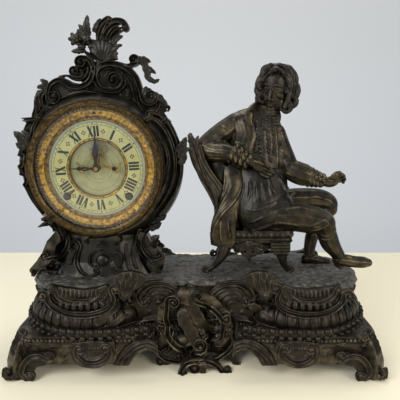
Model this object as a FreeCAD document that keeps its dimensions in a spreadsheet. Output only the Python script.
import FreeCAD, Part
import math
import os
from types import SimpleNamespace

import Sketcher

V = FreeCAD.Vector

# A seated figure and a round clock case stand side by side on a long cast base.
# X runs along the base, Y runs to the back, Z is up, and z = 0 is the table.

SIZES = {
    # Base casting
    "lobe_offset": 150.0,
    "skirt_half": 90.0,
    "skirt_corner": 26.0,
    "band_half": 58.0,
    "skirt_bottom": 18.0,
    "ledge_bottom": 46.0,
    "ledge_top": 60.0,
    "ledge_proud": 4.0,
    "base_wall": 4.0,
    "base_top": 117.0,
    "cushion_foot_radius": 86.0,
    "cushion_top_radius": 80.0,
    "cushion_arc": 21.0,
    "cushion_top": 91.0,
    "cup_foot_radius": 74.0,
    "cup_foot": 95.0,
    "cup_lip_radius": 84.0,
    "cup_lip": 112.0,
    "cup_arc": 26.0,
    "cup_rim_radius": 80.0,
    "front_arch_offset": 80.0,
    "front_arch_radius": 30.0,
    "side_arch_radius": 34.0,
    "side_arch_height": 12.0,
    # Corner feet
    "foot_reach": 137.0,
    "foot_height": 56.0,
    "foot_width": 20.0,
    "foot_flat": 1.6,
    # Relief castings on the base
    "relief_depth": 12.0,
    "crescent_outer": 91.0,
    "crescent_inner": 84.5,
    "crescent_low_arc": 125.0,
    "crescent_low": 92.0,
    "crescent_high_arc": 162.0,
    "crescent_high": 104.0,
    "crescent_tip": 135.0,
    "arch_radius": 36.0,
    "arch_band": 11.0,
    "arch_foot": 76.0,
    "arch_left": 66.0,
    "arch_right": 52.0,
    "arch_depth": 9.0,
    "shield_height": 34.0,
    "shield_foot": 106.0,
    "shield_offset": 101.0,
    "shield_back": 50.0,
    "cartouche_half": 55.0,
    "cartouche_top": 120.0,
    "cartouche_foot": 4.0,
    # Ground on top of the base
    "ground_top": 122.0,
    "ground_lobe_radius": 79.0,
    "ground_front": 57.0,
    "ground_back": 66.0,
    # Neck under the clock case
    "neck_foot_half": 84.0,
    "neck_foot_depth": 50.0,
    "neck_low": 142.0,
    "neck_low_half": 68.0,
    "neck_low_depth": 42.0,
    "neck_waist_drop": 104.0,
    "neck_waist_half": 62.0,
    "neck_waist_depth": 36.0,
    "neck_head_drop": 70.0,
    "neck_head_half": 76.0,
    "neck_head_depth": 34.0,
    "neck_wall": 5.0,
    "neck_middle": 5.0,
    "neck_scroll_front": -29.0,
    "neck_scroll_width": 22.0,
    # Clock case, turned about the dial axis
    "dial_left": 135.0,
    "dial_height": 276.0,
    "case_front": 32.0,
    "case_back": 60.0,
    "case_end_radius": 96.0,
    "case_belly_radius": 117.0,
    "case_belly": 10.0,
    "bowl_step": 13.0,
    "case_lip": 4.0,
    "case_opening": 84.5,
    "door_opening": 78.0,
    "case_slot_half": 34.0,
    "case_slot_front": 14.0,
    "case_slot_back": 48.0,
    "crest_front": 30.0,
    "crest_back": 6.0,
    "ear_front": 2.0,
    "ear_back": 22.0,
    "plume_front": 26.0,
    "plume_back": 8.0,
    # Hinges of bezel and back door
    "knuckle_radius": 2.5,
    "knuckle_half": 6.8,
    "lug_gap": 0.4,
    "lug_height": 10.0,
    "hinge_pin": 1.1,
    "running_fit": 0.05,
    "bezel_hinge_out": 94.8,
    "bezel_hinge_depth": 37.0,
    "door_hinge_out": 84.2,
    "door_hinge_depth": 63.0,
    "door_radius": 80.5,
    "door_thickness": 2.0,
    "door_gap": 0.3,
    "door_hole": 6.0,
    "door_hole_circle": 48.0,
    "door_knob": 5.0,
    "door_knob_length": 8.0,
    # Bezel and glass
    "bezel_outer": 91.6,
    "bezel_inner": 82.0,
    "bezel_seat": 86.2,
    "bezel_front": 50.0,
    "bezel_crown": 86.6,
    "bezel_edge": 45.5,
    "bezel_gap": 0.4,
    "bezel_round": 2.0,
    "glass_radius": 86.0,
    "glass_front": 44.5,
    "glass_thickness": 3.0,
    "glass_bevel": 10.0,
    # Dial
    "pan_radius": 84.2,
    "pan_front": 30.0,
    "pan_thickness": 1.2,
    "pan_foot_radius": 2.5,
    "dial_radius": 66.5,
    "dial_thickness": 2.0,
    "dial_clearance": 0.2,
    "surround_inner": 66.8,
    "surround_outer": 83.0,
    "surround_front": 37.0,
    "surround_slope": 4.5,
    "recess_radius": 38.0,
    "rim_outer": 41.8,
    "rim_front": 33.0,
    "rim_lip": 35.4,
    "disc_front": 26.0,
    "disc_thickness": 2.0,
    "winding_hole": 4.4,
    "regulator_height": 75.0,
    "regulator_radius": 1.8,
    # Movement plates
    "plate_front": 16.0,
    "plate_thickness": 1.5,
    "plate_space": 38.5,
    "plate_half": 58.0,
    "plate_bottom": 73.0,
    "plate_top": 60.0,
    "plate_tongue": 82.0,
    "plate_tongue_half": 9.0,
    "pillar_radius": 3.2,
    "pillar_side": 54.5,
    "pillar_high": 54.0,
    "pillar_low": 68.5,
    "nut_radius": 4.6,
    "nut_height": 3.0,
    "strap_width": 12.0,
    "strap_height": 20.0,
    "arbor_radius": 0.75,
    # Trains, placed from the centre of the dial
    "winding_side": 43.0,
    "winding_drop": 38.0,
    "winding_arbor": 3.0,
    "winding_square": 3.6,
    "winding_reach": 34.0,
    "wheel_thickness": 1.6,
    "pinion_length": 4.0,
    "great_pitch_radius": 27.0,
    "second_pitch_radius": 21.6,
    "second_pinion_radius": 5.4,
    "centre_pinion_radius": 4.8,
    "centre_pitch_radius": 13.5,
    "third_pinion_radius": 1.35,
    "third_pitch_radius": 12.0,
    "escape_pinion_radius": 1.2,
    "escape_height": 18.0,
    "escape_tip_radius": 10.3,
    "escape_depth": 2.6,
    "verge_height": 33.0,
    "cannon_radius": 3.6,
    "minute_pitch_radius": 10.8,
    "minute_pinion_radius": 2.88,
    "hour_pitch_radius": 11.52,
    "great_level": 10.0,
    "second_level": 16.0,
    "centre_level": 2.0,
    "third_level": 8.0,
    "escape_level": 31.0,
    "cannon_level": 17.0,
    "hour_level": 20.4,
    "pipe_outer": 3.3,
    "centre_arbor": 1.8,
    "spring_outer": 24.0,
    "spring_inner": 9.0,
    "spring_strip": 0.9,
    "spring_front": 11.0,
    "spring_back": 7.0,
    "fly_pinion_radius": 3.6,
    "fly_reach": 12.4,
    "fly_length": 14.0,
    "strike_second_side": 50.0,
    "fly_side": 43.0,
    # Escapement in front of the dial centre
    "bridge_front": 35.4,
    "bridge_thickness": 1.4,
    "bridge_side": 24.0,
    "bridge_post": 2.6,
    "bridge_pad": 3.8,
    "bridge_pivot_pad": 4.6,
    "screw_head": 3.0,
    "screw_head_height": 1.0,
    "screw_shank": 1.2,
    "screw_depth": 8.0,
    "pallet_front": 33.0,
    "pallet_depth": 3.0,
    "pallet_span": 9.0,
    "crutch_length": 38.0,
    "crutch_back": 28.6,
    "crutch_thickness": 1.2,
    "crutch_width": 3.0,
    "pendulum_level": 31.0,
    "pendulum_length": 201.0,
    "pendulum_rod": 0.9,
    "bob_radius": 15.0,
    "bob_thickness": 7.0,
    "rating_nut": 3.0,
    # Hands
    "hour_hand_front": 37.9,
    "minute_hand_front": 40.0,
    "hand_thickness": 0.8,
    "hour_hand_length": 38.0,
    "minute_hand_length": 51.0,
    "hand_hub": 4.6,
    "collet_radius": 2.6,
    "collet_front": 41.2,
    # Gong and hammer behind the movement
    "gong_outer": 58.0,
    "gong_inner": 22.0,
    "gong_strip": 1.6,
    "gong_front": 44.0,
    "gong_back": 46.5,
    "gong_block_height": 16.0,
    "gong_block_front": 41.0,
    "gong_block_back": 50.0,
    "hammer_side": 52.0,
    "hammer_rise": 30.0,
    "hammer_head_side": 67.0,
    "hammer_head_radius": 5.0,
    "hammer_level": 48.0,
    # Chair
    "chair_middle": 80.0,
    "seat_half": 60.0,
    "seat_depth_half": 34.0,
    "seat_shift": 6.0,
    "rail_bottom": 158.0,
    "rail_top": 171.0,
    "seat_top": 178.0,
    "leg_top": 9.0,
    "leg_knee": 7.0,
    "leg_ankle": 4.2,
    "leg_toe": 6.5,
    "back_width_half": 32.0,
    "back_thick": 11.0,
    "back_top": 316.0,
    # Figure
    "figure_depth": 10.0,
    "figure_unit": 100.0,
    "fixing_bolt": 2.5,
    "fixing_nut": 6.0,
    "fixing_grip": 6.0,
    "fixing_boss": 8.0,
    "fixing_boss_height": 18.0,
}


class Size(float):
    """A length with the sheet formula that it comes from."""

    def __new__(cls, value, text):
        made = super().__new__(cls, value)
        made.text = text
        return made

    def joined(self, other, value, sign, swap=False):
        first, last = (text_of(other), self.text) if swap else (self.text, text_of(other))
        return Size(value, f"({first} {sign} {last})")

    def __add__(self, other):
        return self.joined(other, float(self) + float(other), "+")

    def __radd__(self, other):
        return self.joined(other, float(other) + float(self), "+", True)

    def __sub__(self, other):
        return self.joined(other, float(self) - float(other), "-")

    def __rsub__(self, other):
        return self.joined(other, float(other) - float(self), "-", True)

    def __mul__(self, other):
        return self.joined(other, float(self) * float(other), "*")

    def __rmul__(self, other):
        return self.joined(other, float(other) * float(self), "*", True)

    def __truediv__(self, other):
        return self.joined(other, float(self) / float(other), "/")

    def __neg__(self):
        return Size(-float(self), f"(0 - {self.text})")


def text_of(value):
    return value.text if isinstance(value, Size) else repr(float(value))


doc = FreeCAD.newDocument("FiguralClock")
sheet = doc.addObject("Spreadsheet::Sheet", "Sizes")
for line, (alias, value) in enumerate(SIZES.items(), 1):
    sheet.set(f"A{line}", alias)
    sheet.set(f"B{line}", str(value))
    sheet.setAlias(f"B{line}", alias)
doc.recompute()
size = SimpleNamespace(**{alias: Size(float(sheet.get(alias)), "Sizes." + alias) for alias in SIZES})

nodes = []
AXES = ("x", "y", "z")


def place(piece, at):
    for axis, value in zip(AXES, at):
        piece.setExpression("Placement.Base." + axis, text_of(value))
    return piece


def node(piece, label):
    piece.Label = label
    nodes.append(piece)
    return piece


def origin_plane(body, role):
    return [plane for plane in body.Origin.OriginFeatures if plane.Role == role][0]


def bulge_point(start, end, radius):
    """Middle of the short arc; a positive radius bulges to the right of the way."""
    dx = float(end[0]) - float(start[0])
    dy = float(end[1]) - float(start[1])
    chord = math.hypot(dx, dy)
    rise = abs(radius) - math.sqrt(max(radius * radius - chord * chord / 4, 0))
    side = math.copysign(rise / chord, radius)
    return V((start[0] + end[0]) / 2 + dy * side, (start[1] + end[1]) / 2 - dx * side, 0)


def draw_outline(sketch, outline):
    """Closed outline of (x, y) points; a third value is the radius of the arc that follows."""
    edges = []
    for point, following in zip(outline, outline[1:] + outline[:1]):
        start = V(point[0], point[1], 0)
        end = V(following[0], following[1], 0)
        if len(point) == 3:
            middle = bulge_point(point, following, point[2])
            edges.append(sketch.addGeometry(Part.Arc(start, middle, end), False))
        else:
            edges.append(sketch.addGeometry(Part.LineSegment(start, end), False))

    def corner(edge, point):
        near = sketch.getPoint(edge, 1)
        return 1 if math.hypot(near.x - point[0], near.y - point[1]) < 1e-6 else 2

    for index, edge in enumerate(edges):
        following = edges[(index + 1) % len(edges)]
        point = outline[(index + 1) % len(outline)]
        end = corner(edge, point)
        sketch.addConstraint(Sketcher.Constraint("Coincident", edge, end, following, corner(following, point)))
        for kind, value in (("DistanceX", point[0]), ("DistanceY", point[1])):
            number = sketch.addConstraint(Sketcher.Constraint(kind, edge, end, float(value)))
            if isinstance(value, Size):
                sketch.setExpression(f"Constraints[{number}]", value.text)
        if len(outline[index]) == 3:
            radius = outline[index][2]
            number = sketch.addConstraint(Sketcher.Constraint("Radius", edge, abs(float(radius))))
            sign = "" if radius > 0 else "-1 * "
            sketch.setExpression(f"Constraints[{number}]", sign + radius.text)


def draw_circle(sketch, x, y, radius):
    edge = sketch.addGeometry(Part.Circle(V(x, y, 0), V(0, 0, 1), float(radius)), False)
    number = sketch.addConstraint(Sketcher.Constraint("Radius", edge, float(radius)))
    sketch.setExpression(f"Constraints[{number}]", radius.text)
    for kind, value in (("DistanceX", x), ("DistanceY", y)):
        number = sketch.addConstraint(Sketcher.Constraint(kind, edge, 3, float(value)))
        if isinstance(value, Size):
            sketch.setExpression(f"Constraints[{number}]", value.text)


def new_sketch(name, role):
    body = doc.addObject("PartDesign::Body", name)
    sketch = body.newObject("Sketcher::SketchObject", name + "_sketch")
    sketch.AttachmentSupport = [(origin_plane(body, role), "")]
    sketch.MapMode = "FlatFace"
    return body, sketch


def turned(name, outline, at=(0, 0, 0), upright=False):
    """Revolution of (radius, height) points, about Y or, when upright, about Z."""
    body, sketch = new_sketch(name, "XZ_Plane" if upright else "XY_Plane")
    draw_outline(sketch, outline)
    turn = body.newObject("PartDesign::Revolution", name + "_turn")
    turn.Profile = sketch
    turn.ReferenceAxis = (sketch, ["V_Axis"])
    turn.Angle = 360
    body.Tip = turn
    return place(body, at)


def padded(name, role, thickness, outline=None, circles=(), at=(0, 0, 0)):
    """Pad of one outline or outer circle with round holes; XZ pads run to the front."""
    body, sketch = new_sketch(name, role)
    if outline:
        draw_outline(sketch, outline)
    for circle in circles:
        draw_circle(sketch, *circle)
    pad = body.newObject("PartDesign::Pad", name + "_pad")
    pad.Profile = sketch
    pad.setExpression("Length", text_of(thickness))
    body.Tip = pad
    return place(body, at)


def box(name, low, high):
    piece = doc.addObject("Part::Box", name)
    for side, start, end in zip(("Length", "Width", "Height"), low, high):
        piece.setExpression(side, text_of(end - start))
    return place(piece, low)


def cylinder(name, radius, length, at, along="z"):
    piece = doc.addObject("Part::Cylinder", name)
    piece.setExpression("Radius", text_of(radius))
    piece.setExpression("Height", text_of(length))
    turns = {"x": (V(0, 1, 0), 90), "y": (V(1, 0, 0), -90), "z": (V(0, 0, 1), 0)}
    piece.Placement.Rotation = FreeCAD.Rotation(*turns[along])
    return place(piece, at)


def fused(name, pieces):
    piece = doc.addObject("Part::MultiFuse", name)
    piece.Shapes = pieces
    piece.Refine = True
    return piece


def cut(name, base, tools):
    piece = doc.addObject("Part::Cut", name)
    piece.Base = base
    piece.Tool = tools[0] if len(tools) == 1 else fused(name + "_tools", tools)
    return piece


def feature(name, shape):
    piece = doc.addObject("Part::Feature", name)
    piece.Shape = shape
    return piece


def group(name, pieces):
    piece = doc.addObject("Part::Compound", name)
    piece.Links = pieces
    return piece


def shape_of(piece):
    doc.recompute()
    return piece.Shape


def apart(shape, others):
    """The largest solid left of a shape once its neighbours are cut away."""
    near = [other for other in others if other.BoundBox.intersect(shape.BoundBox)]
    rest = shape.cut(near) if near else shape
    return max(rest.Solids, key=lambda solid: solid.Volume)


DIAL = (-size.dial_left, 0, size.dial_height)


def at_dial(x=0, y=0, z=0):
    return (x - size.dial_left, y, z + size.dial_height)


# Flat scrolls: a run of circles joined by their tangents

def run_face(circles):
    """Face in the XZ plane round each pair of neighbouring circles (x, z, radius)."""
    faces = []
    for x, z, radius in circles:
        ring = Part.Wire(Part.Circle(V(x, 0, z), V(0, 1, 0), float(radius)).toShape())
        faces.append(Part.Face(ring))
    for (x1, z1, r1), (x2, z2, r2) in zip(circles, circles[1:]):
        gap = math.hypot(x2 - x1, z2 - z1)
        way = math.atan2(z2 - z1, x2 - x1)
        lean = math.acos(max(-1.0, min(1.0, (r1 - r2) / gap)))
        corners = []
        for x, z, radius, side in ((x1, z1, r1, 1), (x2, z2, r2, 1), (x2, z2, r2, -1), (x1, z1, r1, -1)):
            angle = way + side * lean
            corners.append(V(x + radius * math.cos(angle), 0, z + radius * math.sin(angle)))
        faces.append(Part.Face(Part.makePolygon(corners + corners[:1])))
    return faces


def relief(runs, front, back):
    """Solid of all the runs between the depths front and back."""
    faces = []
    for circles in runs:
        faces.extend(run_face(circles))
    whole = faces[0].multiFuse(faces[1:]).removeSplitter()
    solid = whole.extrude(V(0, back - front, 0))
    solid.translate(V(0, front, 0))
    return solid


def scaled_run(shares, scale, x=0.0, z=0.0):
    return [(x + scale * sx, z + scale * sz, scale * radius) for sx, sz, radius in shares]


def limb(stations):
    """Loft through rings; a station is (centre, half width, half depth, normal)."""
    wires = []
    for centre, half_width, half_depth, normal in stations:
        across = normal.cross(V(0, 1, 0))
        if across.Length < 0.2:
            across = V(1, 0, 0)
        across.normalize()
        depth_way = normal.cross(across)
        corners = []
        for corner in range(RING_SIDES):
            angle = 2 * math.pi * (corner + 0.5) / RING_SIDES
            corners.append(centre + across * (half_width * RING_SWELL * math.cos(angle))
                           + depth_way * (half_depth * RING_SWELL * math.sin(angle)))
        wires.append(Part.makePolygon(corners + corners[:1]))
    return Part.makeLoft(wires, True, True)


# Rings have flats like the chisel cuts on the wax; the swell keeps their mean width
RING_SIDES = 14
RING_SWELL = 1 + math.pi ** 2 / (6 * RING_SIDES ** 2)


def path_limb(stations):
    """Loft along a path of (x, y, z, half width, half depth) rings set square to the way."""
    points = [V(*station[:3]) for station in stations]
    rings = []
    for index, station in enumerate(stations):
        before = points[max(index - 1, 0)]
        after = points[min(index + 1, len(points) - 1)]
        normal = after - before
        normal.normalize()
        rings.append((points[index], station[3], station[4], normal))
    return limb(rings)


# Base casting

def skirt_outline(half, corner, band, reach):
    """Two rounded squares about the lobe axes, joined by a narrower band."""
    near = reach - half
    far = reach + half
    return [
        (far, -half + corner), (far, half - corner, corner),
        (far - corner, half), (near + corner, half, corner),
        (near, half - corner), (near, band),
        (-near, band), (-near, half - corner, corner),
        (-near - corner, half), (-far + corner, half, corner),
        (-far, half - corner), (-far, -half + corner, corner),
        (-far + corner, -half), (-near - corner, -half, corner),
        (-near, -half + corner), (-near, -band),
        (near, -band), (near, -half + corner, corner),
        (near + corner, -half), (far - corner, -half, corner),
    ]


def lobe_outline(low, top):
    """Cushion and flared cup of one lobe."""
    return [
        (0, low), (size.cushion_foot_radius, low),
        (size.cushion_foot_radius, size.ledge_top, size.cushion_arc),
        (size.cushion_top_radius, size.cushion_top),
        (size.cup_foot_radius, size.cup_foot, -size.cup_arc),
        (size.cup_lip_radius, size.cup_lip),
        (size.cup_rim_radius, top), (0, top),
    ]


def hollow_outline(low, top):
    """Plain core that hollows a lobe, one wall inside the foot of the cup."""
    core = size.cup_foot_radius - size.base_wall
    return [(0, low), (core, low), (core, top), (0, top)]


def hollow_parts(name, skin, low, top):
    """The masses of the base, drawn in by skin, to be fused to one body."""
    half = size.skirt_half - skin
    corner = size.skirt_corner - skin
    skirt = padded(
        name + "_skirt", "XY_Plane", size.ledge_bottom - low + skin,
        skirt_outline(half, corner, size.band_half - skin, size.lobe_offset), at=(0, 0, low),
    )
    ledge = padded(
        name + "_ledge", "XY_Plane", size.ledge_top - size.ledge_bottom - 2 * skin,
        skirt_outline(
            half + size.ledge_proud, corner + size.ledge_proud,
            size.band_half + size.ledge_proud - skin, size.lobe_offset,
        ),
        at=(0, 0, size.ledge_bottom + skin),
    )
    middle = size.lobe_offset - size.skirt_half / 2
    band = box(
        name + "_band", (-middle, -size.band_half + skin, size.ledge_bottom),
        (middle, size.band_half - skin, top),
    )
    lobes = []
    for side, way in (("left", -1), ("right", 1)):
        outline = hollow_outline if skin else lobe_outline
        lobes.append(turned(
            f"{name}_{side}", outline(size.ledge_bottom, top), (way * size.lobe_offset, 0, 0), True,
        ))
    return [skirt, ledge, band] + lobes


def base_shell():
    outer = fused("base_outer", hollow_parts("outer", 0 * size.base_wall, size.skirt_bottom, size.base_top))
    inner = fused("base_inner", hollow_parts(
        "inner", size.base_wall, size.skirt_bottom - size.base_wall, size.base_top - size.base_wall,
    ))
    reach = size.skirt_half + size.ledge_proud + size.base_wall
    arches = []
    for side, way in (("left", -1), ("right", 1)):
        arches.append(cylinder(
            f"front_arch_{side}", size.front_arch_radius, 2 * reach,
            (way * size.front_arch_offset, -reach, size.skirt_bottom), "y",
        ))
    width = 2 * (size.lobe_offset + reach)
    arches.append(cylinder(
        "side_arch", size.side_arch_radius, width, (-width / 2, 0, size.side_arch_height), "x",
    ))
    well = box(
        "pendulum_well",
        (-size.dial_left - size.case_slot_half, size.case_slot_front, size.cup_foot),
        (-size.dial_left + size.case_slot_half, size.case_slot_back, size.ground_top),
    )
    bolts = []
    for index, (x, y) in enumerate(BOLT_PLACES):
        bolts.append(cylinder(
            f"base_bolt_hole_{index}", size.fixing_bolt + size.running_fit, size.base_wall * 3,
            (x, y, size.base_top - size.base_wall * 2),
        ))
    solid = cut("base_walls", outer, [inner] + arches + [well] + bolts)
    return node(solid, "base_shell"), outer


BOLT_PLACES = (
    (-size.dial_left - size.neck_foot_half / 2, -size.neck_foot_depth / 3),
    (-size.dial_left + size.neck_foot_half / 2, -size.neck_foot_depth / 3),
    (size.chair_middle - size.seat_half, size.seat_shift - size.seat_depth_half),
    (size.chair_middle + size.seat_half, size.seat_shift + size.seat_depth_half),
)


# A scroll foot in its own plane, as shares of the reach and height of the foot
FOOT_SHARES = ((0.78, 0.80, 0.16), (0.90, 0.66, 0.15), (0.95, 0.42, 0.11), (0.915, 0.195, 0.20))


def corner_feet(outer):
    """Four scroll feet that stand out at 45 degrees below the corners."""
    circles = []
    for reach_share, height_share, radius_share in FOOT_SHARES:
        radius = size.foot_height * radius_share
        circles.append((size.foot_reach * reach_share, size.foot_height * height_share, radius))
    x, z, radius = circles[-1]
    circles[-1] = (size.foot_reach - radius, radius - size.foot_flat, radius)
    blank = relief([circles], -size.foot_width / 2, size.foot_width / 2)
    floor = Part.makeBox(
        2 * size.foot_reach, 2 * size.foot_width, size.foot_height,
        V(0, -size.foot_width, -size.foot_height),
    )
    blank = blank.cut(floor)
    feet = []
    for way_x, way_y in ((1, 1), (-1, 1), (-1, -1), (1, -1)):
        foot = blank.copy()
        foot.rotate(V(0, 0, 0), V(0, 0, 1), math.degrees(math.atan2(way_y, way_x)))
        foot.translate(V(way_x * size.lobe_offset, 0, 0))
        feet.append(apart(foot, [outer]))
    return node(feature("feet", Part.makeCompound(feet)), "corner_feet")


def crescent_bands(shell, ground):
    """Crescent scrolls laid round the front of both cups."""
    bands = []
    inside = Part.makeBox(
        2 * size.lobe_offset, 4 * size.ground_front, size.crescent_tip,
        V(-size.lobe_offset, -size.ground_front, size.cup_lip),
    )
    half = size.crescent_outer
    low_rise = size.crescent_low_arc
    high_rise = size.crescent_high_arc
    for way in (-1, 1):
        axis = way * size.lobe_offset
        ring = Part.makeCylinder(size.crescent_outer, size.crescent_tip, V(axis, 0, size.cushion_top))
        bore = Part.makeCylinder(size.crescent_inner, size.crescent_tip, V(axis, 0, size.cup_lip))
        core = Part.makeCylinder(size.cup_foot_radius - size.base_wall / 2, size.crescent_tip,
                                 V(axis, 0, size.cushion_top))
        keep = Part.makeCylinder(low_rise, 2 * half, V(axis, -2 * half, size.crescent_low + low_rise), V(0, 1, 0))
        drop = Part.makeCylinder(high_rise, 2 * half, V(axis, -2 * half, size.crescent_high + high_rise), V(0, 1, 0))
        band = ring.cut([bore, core]).common(keep).cut(drop)
        bands.append(apart(band, [shell, ground, inside]))
    return node(feature("crescents", Part.makeCompound(bands)), "crescent_bands")


def fan_arches(shell, crescents):
    """Half rings on the front of the middle band, either side of the cartouche."""
    arches = []
    front = -size.band_half - size.arch_depth
    for x in (-size.arch_left, size.arch_right):
        ring = Part.makeCylinder(size.arch_radius, size.arch_depth, V(x, front, size.arch_foot), V(0, 1, 0))
        hole = Part.makeCylinder(size.arch_radius - size.arch_band, size.arch_depth,
                                 V(x, front, size.arch_foot), V(0, 1, 0))
        upper = Part.makeBox(2 * size.arch_radius, size.arch_depth, size.arch_radius,
                             V(x - size.arch_radius, front, size.arch_foot))
        arches.append(apart(ring.cut(hole).common(upper), [shell, crescents]))
    return node(feature("arches", Part.makeCompound(arches)), "fan_arches")


SHIELD_SHARES = ((0.0, 0.10, 0.30), (-0.02, 0.45, 0.36), (0.03, 0.86, 0.13))


def shield_leaves(shell, ground, crescents, arches):
    """Shield-shaped leaves between the cups and the arches."""
    leaves = []
    for way in (-1, 1):
        run = scaled_run(SHIELD_SHARES, size.shield_height, way * size.shield_offset, size.shield_foot)
        leaf = relief([run], -size.shield_back - 2 * size.relief_depth, -size.shield_back)
        leaves.append(apart(leaf, [shell, ground, crescents, arches]))
    return node(feature("shields", Part.makeCompound(leaves)), "shield_leaves")


# The middle cartouche as runs in shares of its half width (x) and height (z)
CARTOUCHE_SHARES = (
    ((-0.10, 0.93, 0.10), (-0.42, 0.90, 0.12), (-0.80, 0.74, 0.12), (-0.86, 0.52, 0.10), (-0.62, 0.38, 0.13)),
    ((0.02, 0.90, 0.13), (0.40, 0.84, 0.12), (0.74, 0.66, 0.12), (0.82, 0.44, 0.10), (0.58, 0.32, 0.13)),
    ((-0.16, 0.84, 0.20), (-0.10, 0.60, 0.26), (0.04, 0.38, 0.22), (0.16, 0.18, 0.12), (0.10, 0.07, 0.07)),
    ((-0.62, 0.38, 0.13), (-0.30, 0.30, 0.10), (0.04, 0.38, 0.12)),
)


def base_cartouche(shell, ground, arches):
    """Big leafy cartouche on the middle of the front."""
    height = size.cartouche_top - size.cartouche_foot
    runs = []
    for shares in CARTOUCHE_SHARES:
        run = []
        for across, up, radius in shares:
            run.append((across * size.cartouche_half, size.cartouche_foot + up * height,
                        radius * size.cartouche_half))
        runs.append(run)
    front = -size.band_half - size.ledge_proud - size.relief_depth
    solid = relief(runs, front, -size.band_half + size.base_wall / 2)
    floor = Part.makeBox(
        4 * size.cartouche_half, 4 * size.relief_depth, size.cartouche_half,
        V(-2 * size.cartouche_half, front - size.relief_depth, size.cartouche_foot - size.cartouche_half),
    )
    return node(feature("cartouche", apart(solid.cut(floor), [shell, ground, arches])), "base_cartouche")


def ground_plate():
    thickness = size.ground_top - size.base_top
    lobes = []
    for side, way in (("left", -1), ("right", 1)):
        lobes.append(cylinder(
            f"ground_{side}", size.ground_lobe_radius, thickness, (way * size.lobe_offset, 0, size.base_top),
        ))
    middle = box(
        "ground_middle", (-size.lobe_offset, -size.ground_front, size.base_top),
        (size.lobe_offset, size.ground_back, size.ground_top),
    )
    well = box(
        "ground_well", (-size.dial_left - size.case_slot_half, size.case_slot_front, size.base_top),
        (-size.dial_left + size.case_slot_half, size.case_slot_back, size.ground_top),
    )
    holes = []
    for index, (x, y) in enumerate(BOLT_PLACES):
        holes.append(cylinder(
            f"ground_bolt_hole_{index}", size.fixing_bolt + size.running_fit, thickness, (x, y, size.base_top),
        ))
    return node(cut("ground", fused("ground_solid", lobes + [middle]), [well] + holes), "ground_plate")


# Neck and clock case

NECK_SCROLL_SHARES = (
    ((-0.60, -0.98, 0.08), (-0.74, -1.12, 0.07), (-0.80, -1.30, 0.09), (-0.92, -1.45, 0.08), (-1.04, -1.54, 0.05)),
    ((0.62, -1.02, 0.07), (0.70, -1.18, 0.07), (0.82, -1.30, 0.11), (0.80, -1.44, 0.13)),
)


def neck_loft(skin):
    rings = (
        (size.ground_top, size.neck_foot_half, size.neck_foot_depth),
        (size.neck_low, size.neck_low_half, size.neck_low_depth),
        (size.dial_height - size.neck_waist_drop, size.neck_waist_half, size.neck_waist_depth),
        (size.dial_height - size.neck_head_drop, size.neck_head_half, size.neck_head_depth),
    )
    stations = []
    for height, half, depth in rings:
        stations.append((V(-size.dial_left, size.neck_middle, height), half - skin, depth - skin, V(0, 0, 1)))
    return limb(stations)


def neck_pedestal(case_solid, crescents):
    outer = neck_loft(0)
    runs = [scaled_run(shares, size.case_end_radius, -size.dial_left, size.dial_height)
            for shares in NECK_SCROLL_SHARES]
    scrolls = [relief([run], size.neck_scroll_front, size.neck_scroll_front + size.neck_scroll_width)
               for run in runs]
    bosses = []
    for x, y in BOLT_PLACES[:2]:
        bosses.append(Part.makeCylinder(size.fixing_boss, size.fixing_boss_height, V(x, y, size.ground_top)))
    hollow = neck_loft(size.neck_wall)
    holes = [bolt_shank(x, y) for x, y in BOLT_PLACES[:2]]
    walls = outer.multiFuse(scrolls).cut(hollow).multiFuse(bosses).cut(holes)
    return node(feature("neck", apart(walls, [case_solid, crescents])), "neck_pedestal")


def bolt_shank(x, y):
    foot = size.base_top - size.base_wall
    length = size.ground_top + size.fixing_grip - foot
    return Part.makeCylinder(size.fixing_bolt, length, V(x, y, foot))


def outer_bowl():
    """Front to back outline of the bowl, from lip to lip."""
    belly = size.case_belly_radius
    end = size.case_end_radius
    swell = belly - end
    return [
        (end, -size.case_front), (end + swell * 0.52, -size.case_front + size.bowl_step),
        (end + swell * 0.88, -size.case_front + 2 * size.bowl_step), (belly, size.case_belly),
        (belly - swell * 0.25, size.case_belly + 1.6 * size.bowl_step), (end, size.case_back),
    ]


def inner_bowl():
    end = size.case_end_radius - size.case_lip
    deep = size.case_belly_radius - 2 * size.case_lip
    return [
        (end, -size.case_front + size.case_lip), (deep, size.case_belly - size.bowl_step),
        (deep, size.case_belly + size.bowl_step), (end, size.case_back - size.case_lip),
    ]


def to_axis(outline):
    """The outline closed to a solid about the dial axis."""
    return [(0, outline[0][1])] + outline + [(0, outline[-1][1])]


def hinge_lugs(name, out, depth, seat):
    """Two knuckles above and below the moving one, with legs back to the seat."""
    lugs = []
    half = size.knuckle_radius
    low, high = (depth, seat) if depth < seat else (seat, depth)
    for side, start in (("high", size.knuckle_half + size.lug_gap),
                        ("low", -size.knuckle_half - size.lug_gap - size.lug_height)):
        lugs.append(cylinder(f"{name}_{side}", half, size.lug_height, at_dial(-out, depth, start)))
        lugs.append(box(f"{name}_{side}_leg", at_dial(-out - half, low, start),
                        at_dial(-out + half, high, start + size.lug_height)))
    return lugs


def hinge_pin(name, out, depth, radius):
    reach = size.knuckle_half + size.lug_gap + size.lug_height
    return cylinder(name, radius, 2 * reach, at_dial(-out, depth, -reach))


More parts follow.
